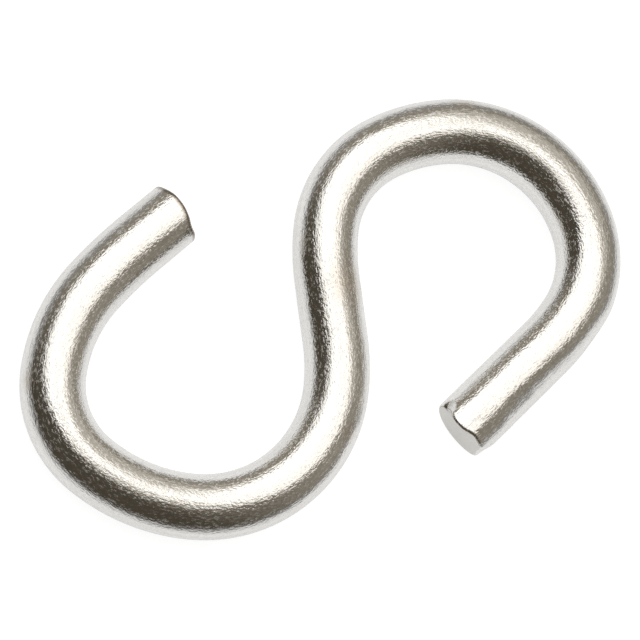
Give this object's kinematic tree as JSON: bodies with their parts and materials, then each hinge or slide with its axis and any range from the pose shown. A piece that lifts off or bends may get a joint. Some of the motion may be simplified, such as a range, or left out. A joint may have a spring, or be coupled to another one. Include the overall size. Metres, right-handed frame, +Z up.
{
  "type": "s hook",
  "caption": "Open S hook bent from one length of round bright-plated steel wire; its two open hooks face opposite ways and join rings, chain links or eyes.",
  "frame": {"origin": "on the surface that the hook lies on, under the middle of its bounding box", "axes": "+X along the line of pull, towards the hook with the longer open leg; +Y across the hook, towards the open leg of the other hook; +Z up from the surface, square to the plane of the wire"},
  "size_m": [0.0512, 0.0296, 0.0052],
  "materials": {
    "plated_wire": "bright zinc plate over drawn steel wire: glossy, with a fine grain stretched along the wire, faint die lines, and duller, scuffed sheared ends"
  },
  "bodies": {
    "root": {"s_hook": "plated_wire"}
  },
  "joints": []
}
